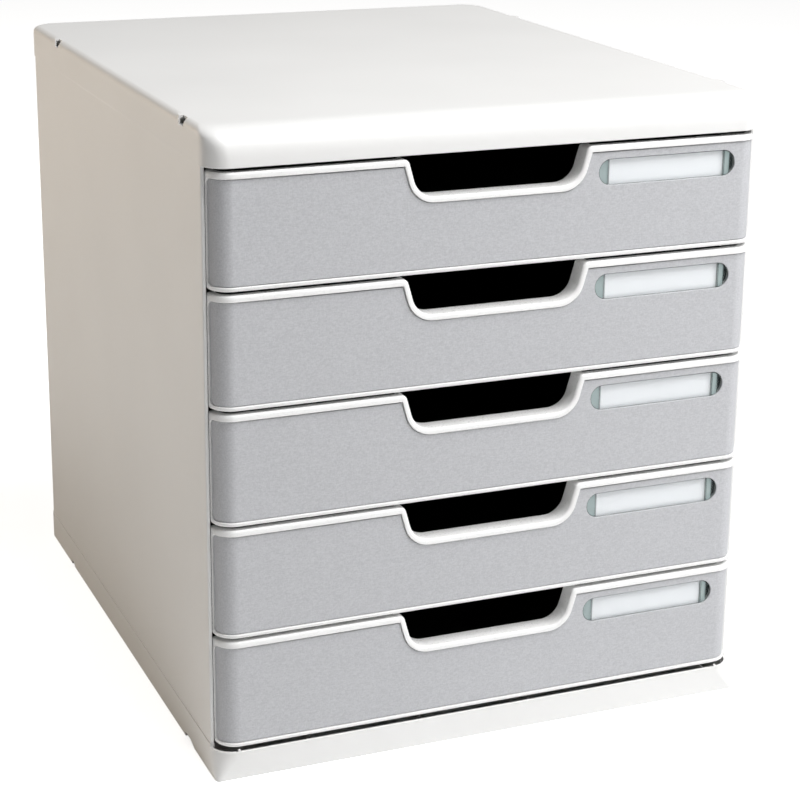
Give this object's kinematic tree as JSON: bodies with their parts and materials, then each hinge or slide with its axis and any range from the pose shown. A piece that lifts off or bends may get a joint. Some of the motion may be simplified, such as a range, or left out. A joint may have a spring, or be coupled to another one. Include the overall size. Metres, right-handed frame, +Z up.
{
  "type": "desktop file drawer",
  "caption": "Desktop office module whose shallow file drawers slide out of a closed case, each with a finger cut-out and a label window.",
  "frame": {"origin": "centre of the footprint on the desk, under the middle of the case", "axes": "+X to the right seen from the front, +Y towards the back, +Z up; the drawer fronts face -Y"},
  "size_m": [0.288, 0.35, 0.32],
  "materials": {
    "case_plastic": "satin, warm white",
    "panel_plastic": "fine grain, light grey",
    "tray_plastic": "satin, charcoal",
    "window_plastic": "clear, faint green tint",
    "label_card": "uncoated white card"
  },
  "bodies": {
    "case": {"top_cap": "case_plastic", "base": "case_plastic", "left_side_panel": "case_plastic", "right_side_panel": "case_plastic", "back_panel": "case_plastic"},
    "drawer_1": {"drawer_1_tray": "tray_plastic", "drawer_1_front": "case_plastic", "drawer_1_panel": "panel_plastic", "drawer_1_window": "window_plastic", "drawer_1_label": "label_card"},
    "drawer_2": {"drawer_2_tray": "tray_plastic", "drawer_2_front": "case_plastic", "drawer_2_panel": "panel_plastic", "drawer_2_window": "window_plastic", "drawer_2_label": "label_card"},
    "drawer_3": {"drawer_3_tray": "tray_plastic", "drawer_3_front": "case_plastic", "drawer_3_panel": "panel_plastic", "drawer_3_window": "window_plastic", "drawer_3_label": "label_card"},
    "drawer_4": {"drawer_4_tray": "tray_plastic", "drawer_4_front": "case_plastic", "drawer_4_panel": "panel_plastic", "drawer_4_window": "window_plastic", "drawer_4_label": "label_card"},
    "drawer_5": {"drawer_5_tray": "tray_plastic", "drawer_5_front": "case_plastic", "drawer_5_panel": "panel_plastic", "drawer_5_window": "window_plastic", "drawer_5_label": "label_card"}
  },
  "joints": [
    {"name": "drawer_1_slide", "type": "slide", "parent": "case", "child": "drawer_1", "axis": [0, -1, 0], "range_m": [0, 0.27]},
    {"name": "drawer_2_slide", "type": "slide", "parent": "case", "child": "drawer_2", "axis": [0, -1, 0], "range_m": [0, 0.27]},
    {"name": "drawer_3_slide", "type": "slide", "parent": "case", "child": "drawer_3", "axis": [0, -1, 0], "range_m": [0, 0.27]},
    {"name": "drawer_4_slide", "type": "slide", "parent": "case", "child": "drawer_4", "axis": [0, -1, 0], "range_m": [0, 0.27]},
    {"name": "drawer_5_slide", "type": "slide", "parent": "case", "child": "drawer_5", "axis": [0, -1, 0], "range_m": [0, 0.27]}
  ]
}
